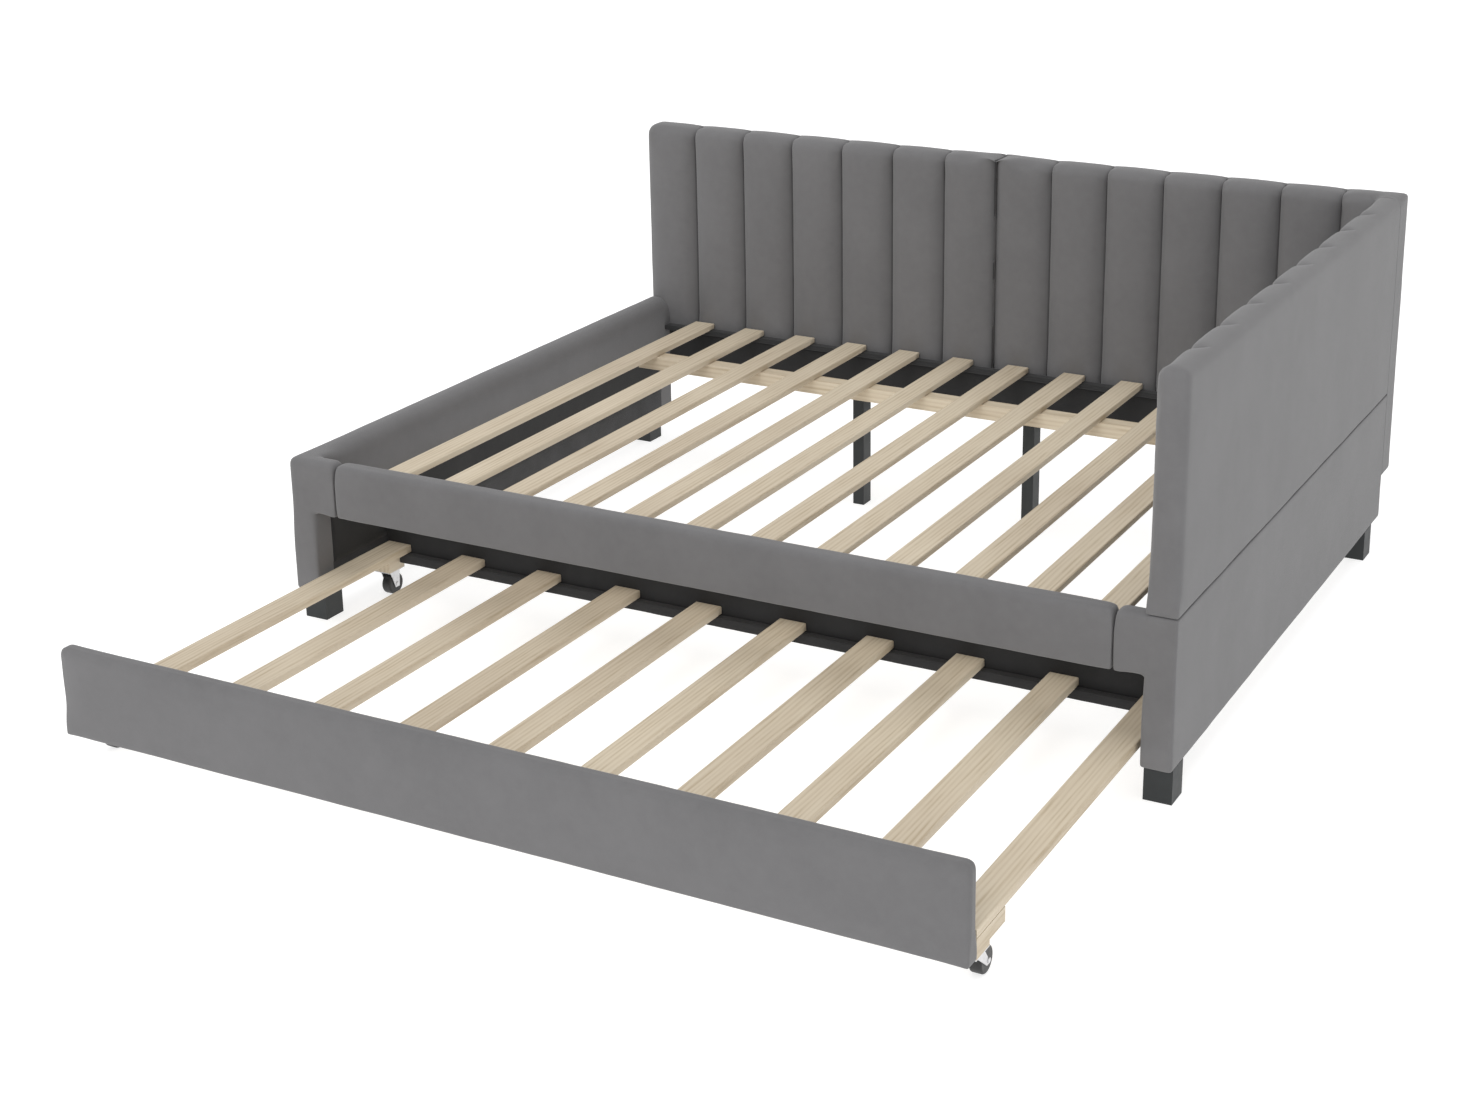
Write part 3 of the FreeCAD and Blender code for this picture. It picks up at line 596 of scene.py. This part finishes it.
def tacked_sheet(node, name, facing):
    """A lining cloth, tacked along its edges at a regular pitch and slack in between.

    facing is the direction that it looks in along its thin axis, 1 or -1.
    """
    low, high = corners(node)
    thin = int(np.argmin(high - low))
    wide = [i for i in (X, Y, Z) if i != thin]
    counts = [max(SHEET_LEAST_CELLS, round((high[i] - low[i]) / SHEET_GRID))
              for i in wide]
    u, v = [np.linspace(low[i], high[i], n + 1) for i, n in zip(wide, counts)]
    uu, vv = np.meshgrid(u, v, indexing="ij")
    points = np.zeros((uu.size, 3))
    points[:, wide[0]], points[:, wide[1]] = uu.ravel(), vv.ravel()
    inside = np.minimum(points - low, high - points)[:, wide].min(axis=1)
    tacks = 0.5 - 0.5 * np.cos(2 * math.pi * points[:, wide[0]] / TACK_PITCH)
    size, scale, offset = SHEET_UNEVEN
    uneven = size * (1 + noise_at(points, scale, offset))
    slack = ease(inside, SLACK_BAND) * uneven
    puckers = tacks * np.exp(-inside / PUCKER_REACH)
    held_at = low[thin] if facing > 0 else high[thin]
    bulge = SHEET_LIFT + SHEET_SLACK * slack + SHEET_PUCKER * puckers
    points[:, thin] = held_at + facing * bulge
    rows = counts[1] + 1
    faces = []
    for i in range(counts[0]):
        for j in range(counts[1]):
            a = i * rows + j
            faces.append((a, a + rows, a + rows + 1, a + 1))
    sheet = new_object(name, points, faces)
    thicken = sheet.modifiers.new("Solidify", "SOLIDIFY")
    thicken.thickness = SHEET_THICKNESS
    thicken.offset = 0
    apply_modifiers(sheet)
    return sheet, [float(high[i] - low[i]) for i in wide]


back_ledge = wrapped_board("back_ledge", "back_ledge_wrap", radius=0.002)
rear_rail = wrapped_board("trundle_rear_rail", "trundle_rear_rail_wrap",
                          radius=0.0035)
rear_ledge = wrapped_board("trundle_rear_ledge", "trundle_rear_ledge_wrap",
                           radius=0.0025)
left_lining, left_cut = tacked_sheet("left_panel_lining", "left_lining_cloth",
                                     facing=1)
right_lining, right_cut = tacked_sheet("right_panel_lining", "right_lining_cloth",
                                       facing=-1)
back_lining, back_cut = tacked_sheet("back_lining", "back_lining_cloth", facing=-1)


# ---------------------------------------------------------------- materials

class Shader:
    """A node material with one Principled shader and helpers that chain nodes to it."""

    def __init__(self, name, roughness, **sockets):
        self.material = bpy.data.materials.new(name)
        self.material.use_nodes = True
        self.nodes = self.material.node_tree.nodes
        self.links = self.material.node_tree.links
        self.principled = self.nodes["Principled BSDF"]
        self.principled.inputs["Roughness"].default_value = roughness
        for socket, value in sockets.items():
            self.principled.inputs[socket.replace("_", " ")].default_value = value
        self.place = self.add("ShaderNodeTexCoord").outputs["Object"]

    def add(self, kind, **settings):
        node = self.nodes.new(kind)
        for name, value in settings.items():
            setattr(node, name, value)
        return node

    def stretched(self, scale):
        node = self.add("ShaderNodeMapping")
        self.links.new(self.place, node.inputs["Vector"])
        node.inputs["Scale"].default_value = scale
        return node.outputs["Vector"]

    def noise(self, scale, detail, rough, place=None, distortion=0.0):
        node = self.add("ShaderNodeTexNoise")
        self.links.new(place or self.place, node.inputs["Vector"])
        node.inputs["Scale"].default_value = scale
        node.inputs["Detail"].default_value = detail
        node.inputs["Roughness"].default_value = rough
        node.inputs["Distortion"].default_value = distortion
        return node.outputs["Fac"]

    def wave(self, direction, scale, distortion=0.0, place=None, detail=2.0):
        node = self.add("ShaderNodeTexWave", bands_direction=direction)
        self.links.new(place or self.place, node.inputs["Vector"])
        node.inputs["Scale"].default_value = scale
        node.inputs["Distortion"].default_value = distortion
        node.inputs["Detail"].default_value = detail
        return node.outputs["Fac"]

    def math(self, operation, a, b):
        node = self.add("ShaderNodeMath", operation=operation)
        for socket, value in zip(node.inputs, (a, b)):
            if isinstance(value, bpy.types.NodeSocket):
                self.links.new(value, socket)
            else:
                socket.default_value = value
        return node.outputs[0]

    def blend(self, *shares):
        """The sum of (socket, weight) pairs."""
        total = None
        for socket, weight in shares:
            part = socket if weight == 1.0 else self.math("MULTIPLY", socket, weight)
            total = part if total is None else self.math("ADD", total, part)
        return total

    def ramp(self, factor, *stops):
        """A colour ramp; a stop's colour is three numbers, or one number for a grey."""
        node = self.add("ShaderNodeValToRGB")
        self.links.new(factor, node.inputs["Fac"])
        elements = node.color_ramp.elements
        while len(elements) < len(stops):
            elements.new(0.5)
        for element, (where, colour) in zip(elements, stops):
            element.position = where
            rgb = colour if isinstance(colour, tuple) else (colour,) * 3
            element.color = (*rgb, 1.0)
        return node.outputs["Color"]

    def multiply(self, a, b):
        node = self.add("ShaderNodeMix", data_type="RGBA", blend_type="MULTIPLY")
        node.inputs["Factor"].default_value = 1.0
        self.links.new(a, node.inputs[6])
        self.links.new(b, node.inputs[7])
        return node.outputs[2]

    def colour(self, value):
        self.links.new(value, self.principled.inputs["Base Color"])

    def rough(self, value):
        self.links.new(value, self.principled.inputs["Roughness"])

    def bump(self, height, strength, distance):
        node = self.add("ShaderNodeBump")
        self.links.new(height, node.inputs["Height"])
        node.inputs["Strength"].default_value = strength
        node.inputs["Distance"].default_value = distance
        self.links.new(node.outputs["Normal"], self.principled.inputs["Normal"])


def tinted(colour, factor):
    return tuple(c * factor for c in colour)


def velvet():
    """Short-pile velvet: nap patches, fine mottling, a close weave, and painted shade that
    darkens the seams and creases.
    """
    s = Shader("velvet", 0.85, Sheen_Weight=0.25, Sheen_Roughness=0.45,
               Specular_IOR_Level=0.25)
    grey = (0.150, 0.148, 0.151)
    patches = s.noise(scale=5.0, detail=3.0, rough=0.55)
    mottle = s.noise(scale=45.0, detail=4.0, rough=0.6)
    pile = s.noise(scale=1100.0, detail=2.0, rough=0.5)
    tone = s.blend((patches, 0.45), (mottle, 0.35), (pile, 0.2))
    base = s.ramp(tone, (0.3, tinted(grey, 0.88)), (0.5, grey), (0.72, tinted(grey, 1.12)))
    # Painted shade: the base colour is darkened where the mesh is concave, in the seams
    # and creases.
    painted_crease_shade = s.add("ShaderNodeNewGeometry").outputs["Pointiness"]
    s.colour(s.multiply(base, s.ramp(painted_crease_shade, (0.44, 0.42), (0.492, 1.0))))
    s.rough(s.ramp(mottle, (0.3, 0.8), (0.7, 0.92)))
    weave = s.blend(*((s.wave(direction, scale=210.0), 1.0) for direction in "XYZ"))
    s.bump(s.blend((weave, 0.3), (pile, 1.0)), strength=0.35, distance=0.0006)
    return s.material


def pine(name, along):
    """Sanded pine: long grain streaks, growth rings, pores and a slight change of tone."""
    s = Shader(name, 0.6, Specular_IOR_Level=0.35)
    squeeze = [1.0, 1.0, 1.0]
    squeeze[along] = 0.05
    lengthwise = s.stretched(squeeze)
    squeeze[along] = 0.012
    fibres_at = s.stretched(squeeze)
    streaks = s.noise(scale=120.0, detail=5.0, rough=0.6, place=lengthwise,
                      distortion=0.4)
    rings = s.wave("X" if along == Y else "Z", scale=30.0, distortion=7.0,
                   place=lengthwise, detail=3.0)
    fibres = s.noise(scale=900.0, detail=3.0, rough=0.6, place=fibres_at)
    boards = s.noise(scale=2.2, detail=1.0, rough=0.5)
    light, mid, dark = (0.63, 0.55, 0.43), (0.58, 0.495, 0.375), (0.47, 0.385, 0.27)
    grain = s.blend((streaks, 0.6), (rings, 0.25), (fibres, 0.15))
    base = s.ramp(grain, (0.28, dark), (0.42, mid), (0.62, light))
    tone = s.ramp(boards, (0.3, (0.9, 0.88, 0.86)), (0.7, (1.06, 1.06, 1.05)))
    s.colour(s.multiply(base, tone))
    s.rough(s.ramp(fibres, (0.3, 0.52), (0.7, 0.7)))
    s.bump(s.blend((fibres, 1.0), (streaks, 0.6)), strength=0.25, distance=0.0005)
    return s.material


def raw_board():
    """Plain raw board for the frames inside the covers."""
    s = Shader("frame_board", 0.75)
    lengthwise = s.stretched((0.06, 0.06, 1.0))
    grain = s.noise(scale=60.0, detail=4.0, rough=0.6, place=lengthwise)
    s.colour(s.ramp(grain, (0.3, (0.42, 0.3, 0.18)), (0.7, (0.6, 0.46, 0.3))))
    s.bump(grain, strength=0.3, distance=0.0005)
    return s.material


def black_cloth(name, lift):
    """Spun dust-cover cloth: a dense felt of fibres with a faint pressed grid."""
    s = Shader(name, 0.9, Sheen_Weight=0.1)
    felt = s.noise(scale=700.0, detail=3.0, rough=0.65)
    cloud = s.noise(scale=14.0, detail=3.0, rough=0.5)
    tone = s.blend((felt, 0.6), (cloud, 0.4))
    dark, light = (0.009, 0.009, 0.0095), (0.024, 0.024, 0.0255)
    s.colour(s.ramp(tone, (0.32, tinted(dark, lift)), (0.68, tinted(light, lift))))
    dots = s.math("MULTIPLY", s.wave("Y", scale=120.0), s.wave("Z", scale=120.0))
    s.bump(s.blend((felt, 1.0), (dots, 0.5)), strength=0.5, distance=0.0006)
    return s.material


def leg_paint():
    """Dark slate finish with a fine orange peel and slightly rubbed edges."""
    s = Shader("leg_paint", 0.5, Specular_IOR_Level=0.4)
    peel = s.noise(scale=420.0, detail=3.0, rough=0.5)
    cloud = s.noise(scale=18.0, detail=3.0, rough=0.6)
    base = s.ramp(cloud, (0.3, (0.01, 0.0118, 0.0124)), (0.7, (0.017, 0.0195, 0.0205)))
    edges = s.add("ShaderNodeNewGeometry").outputs["Pointiness"]
    s.colour(s.multiply(base, s.ramp(edges, (0.52, 1.0), (0.6, 1.35))))
    s.rough(s.ramp(cloud, (0.3, 0.42), (0.7, 0.58)))
    s.bump(peel, strength=0.2, distance=0.0004)
    return s.material


def steel(name, tone):
    """Zinc-plated steel with fine drawn lines and a cloudy plating."""
    s = Shader(name, 0.35, Metallic=1.0)
    lengthwise = s.stretched((1.0, 1.0, 0.06))
    drawn = s.noise(scale=600.0, detail=3.0, rough=0.6, place=lengthwise)
    cloud = s.noise(scale=60.0, detail=3.0, rough=0.6)
    s.colour(s.ramp(cloud, (0.3, tinted(tone, 0.85)), (0.7, tone)))
    s.rough(s.ramp(drawn, (0.3, 0.26), (0.7, 0.46)))
    s.bump(drawn, strength=0.15, distance=0.0003)
    return s.material


def nylon():
    """Moulded black nylon with a faint grain and dust on the tread."""
    s = Shader("caster_nylon", 0.42, Specular_IOR_Level=0.5)
    grain = s.noise(scale=800.0, detail=2.0, rough=0.5)
    dust = s.noise(scale=90.0, detail=4.0, rough=0.65)
    s.colour(s.ramp(dust, (0.35, (0.012, 0.012, 0.013)), (0.75, (0.035, 0.034, 0.033))))
    s.rough(s.ramp(dust, (0.35, 0.36), (0.75, 0.6)))
    s.bump(grain, strength=0.2, distance=0.0003)
    return s.material


def studio_floor():
    """A pale floor that glows a little, so that it meets the white world unseen."""
    s = Shader("studio_floor", 0.9, Specular_IOR_Level=0.1)
    s.principled.inputs["Emission Color"].default_value = (1, 1, 1, 1)
    s.principled.inputs["Emission Strength"].default_value = 0.72
    cloud = s.noise(scale=1.5, detail=2.0, rough=0.5)
    s.colour(s.ramp(cloud, (0.3, 0.5), (0.7, 0.54)))
    return s.material


fabric = velvet()
pine_cross = pine("pine_cross", X)
lining_cloth = black_cloth("black_cloth", 1.0)
# A lighter copy of the black cloth: painted shade for the velvet low on the end panels'
# inner faces.
painted_shade_cloth = black_cloth("painted_shade_cloth", 2.6)
by_slot = {
    "upholstery": fabric,
    "black_lining": lining_cloth,
    "leg_finish": leg_paint(),
    "pine": pine("pine_long", Y),
    "frame_wood": raw_board(),
    "bolt_steel": steel("bolt_zinc", (0.55, 0.55, 0.56)),
    "caster_steel": steel("caster_zinc", (0.72, 0.72, 0.73)),
    "caster_tread": nylon(),
}
cross_boards = ("center_beam", "front_ledge", "trundle_front_ledge")
for name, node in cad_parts.items():
    for index, present in enumerate(node.data.materials):
        chosen = by_slot[present.name.split(".")[0]]
        node.data.materials[index] = pine_cross if name in cross_boards else chosen


# ---------------------------------------------------------------- what each piece is

def join(obj, body, material, nodes):
    obj.data.materials.clear()
    obj.data.materials.append(material)
    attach(obj, body)
    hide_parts(*nodes.split())


for piece, body, nodes in (
    (left_panel, "bed", "left_panel_cover left_panel_frame"),
    (right_panel, "bed", "right_panel_cover right_panel_frame"),
    (back_left, "bed", "back_cover_left back_frame_left"),
    (back_right, "bed", "back_cover_right back_frame_right"),
    (arm, "bed", "tall_panel_cover tall_panel_frame"),
    (rail, "bed", "front_rail_cover front_rail_frame"),
    (trundle_front, "trundle", "trundle_front_cover"),
):
    join(piece.object, body, fabric, nodes)

# Below its lining, the inner face of an end panel gets dark grey cloth down to the hem:
# painted shade, standing in for the velvet that lies in deep shade there.
INNER_FACING = 0.7  # how much a face looks inward to be part of it
for piece, lining, inward in (
    (left_panel, "left_panel_lining", 1),
    (right_panel, "right_panel_lining", -1),
):
    low, high = corners(lining)
    mesh = piece.object.data
    mesh.materials.append(painted_shade_cloth)
    for face in mesh.polygons:
        beside = low[Y] < face.center.y < high[Y]
        looks_in = face.normal.x * inward > INNER_FACING
        if beside and looks_in and face.center.z < low[Z]:
            face.material_index = 1

join(back_ledge, "bed", lining_cloth, "back_ledge")
join(rear_rail, "trundle", lining_cloth, "trundle_rear_rail")
join(rear_ledge, "trundle", lining_cloth, "trundle_rear_ledge")
for sheet, cut, node, held_by in (
    (left_lining, left_cut, "left_panel_lining", "left_panel_upholstery"),
    (right_lining, right_cut, "right_panel_lining", "right_panel_upholstery"),
    (back_lining, back_cut, "back_lining", "back_upholstery_left"),
):
    join(sheet, "bed", lining_cloth, node)
    tuple(cut)


# ---------------------------------------------------------------- studio

FLOOR_HALF = 200.0  # so large that its edge is beyond sight in low views
FLOOR_HEIGHT = -0.0005
WORLD_STRENGTH = 0.76
CAMERA_PLACE = (2.2387, -4.1548, 2.0498)
CAMERA_DOWN = 17.76  # degrees
CAMERA_LEFT = 26.38
CAMERA_LENS = 56.98  # millimetres, on a 36 mm sensor
CAMERA_SHIFT = (-0.09, -0.1)


def area_light(name, place, target, size, energy):
    light = bpy.data.lights.new(name, "AREA")
    light.shape = "SQUARE"
    light.size = size
    light.energy = energy
    obj = bpy.data.objects.new(name, light)
    obj.location = place
    aim = Vector(target) - Vector(place)
    obj.rotation_euler = aim.to_track_quat("-Z", "Y").to_euler()
    scene.collection.objects.link(obj)


floor_corners = [(x * FLOOR_HALF, y * FLOOR_HALF, FLOOR_HEIGHT)
                 for x, y in ((-1, -1), (1, -1), (1, 1), (-1, 1))]
floor = new_object("studio_floor", floor_corners, [(0, 1, 2, 3)])
floor.data.materials.append(studio_floor())
area_light("key", place=(0.5, -11.5, 8.0), target=(0, 0, 0.3), size=8.0, energy=535)
area_light("top", place=(0.0, 0.0, 10.0), target=(0, 0, 0), size=9.0, energy=230)

world = bpy.data.worlds.new("studio")
world.use_nodes = True
sky = world.node_tree.nodes["Background"]
sky.inputs["Color"].default_value = (1, 1, 1, 1)
sky.inputs["Strength"].default_value = WORLD_STRENGTH
scene.world = world

camera_data = bpy.data.cameras.new("camera")
camera_data.sensor_width = 36.0
camera_data.sensor_fit = "HORIZONTAL"
camera_data.lens = CAMERA_LENS
camera_data.shift_x, camera_data.shift_y = CAMERA_SHIFT
camera = bpy.data.objects.new("camera", camera_data)
camera.location = CAMERA_PLACE
camera.rotation_euler = (
    math.radians(90 - CAMERA_DOWN), 0.0, math.radians(CAMERA_LEFT))
scene.collection.objects.link(camera)
scene.camera = camera
scene.view_settings.view_transform = "Standard"

bpy.context.view_layer.update()
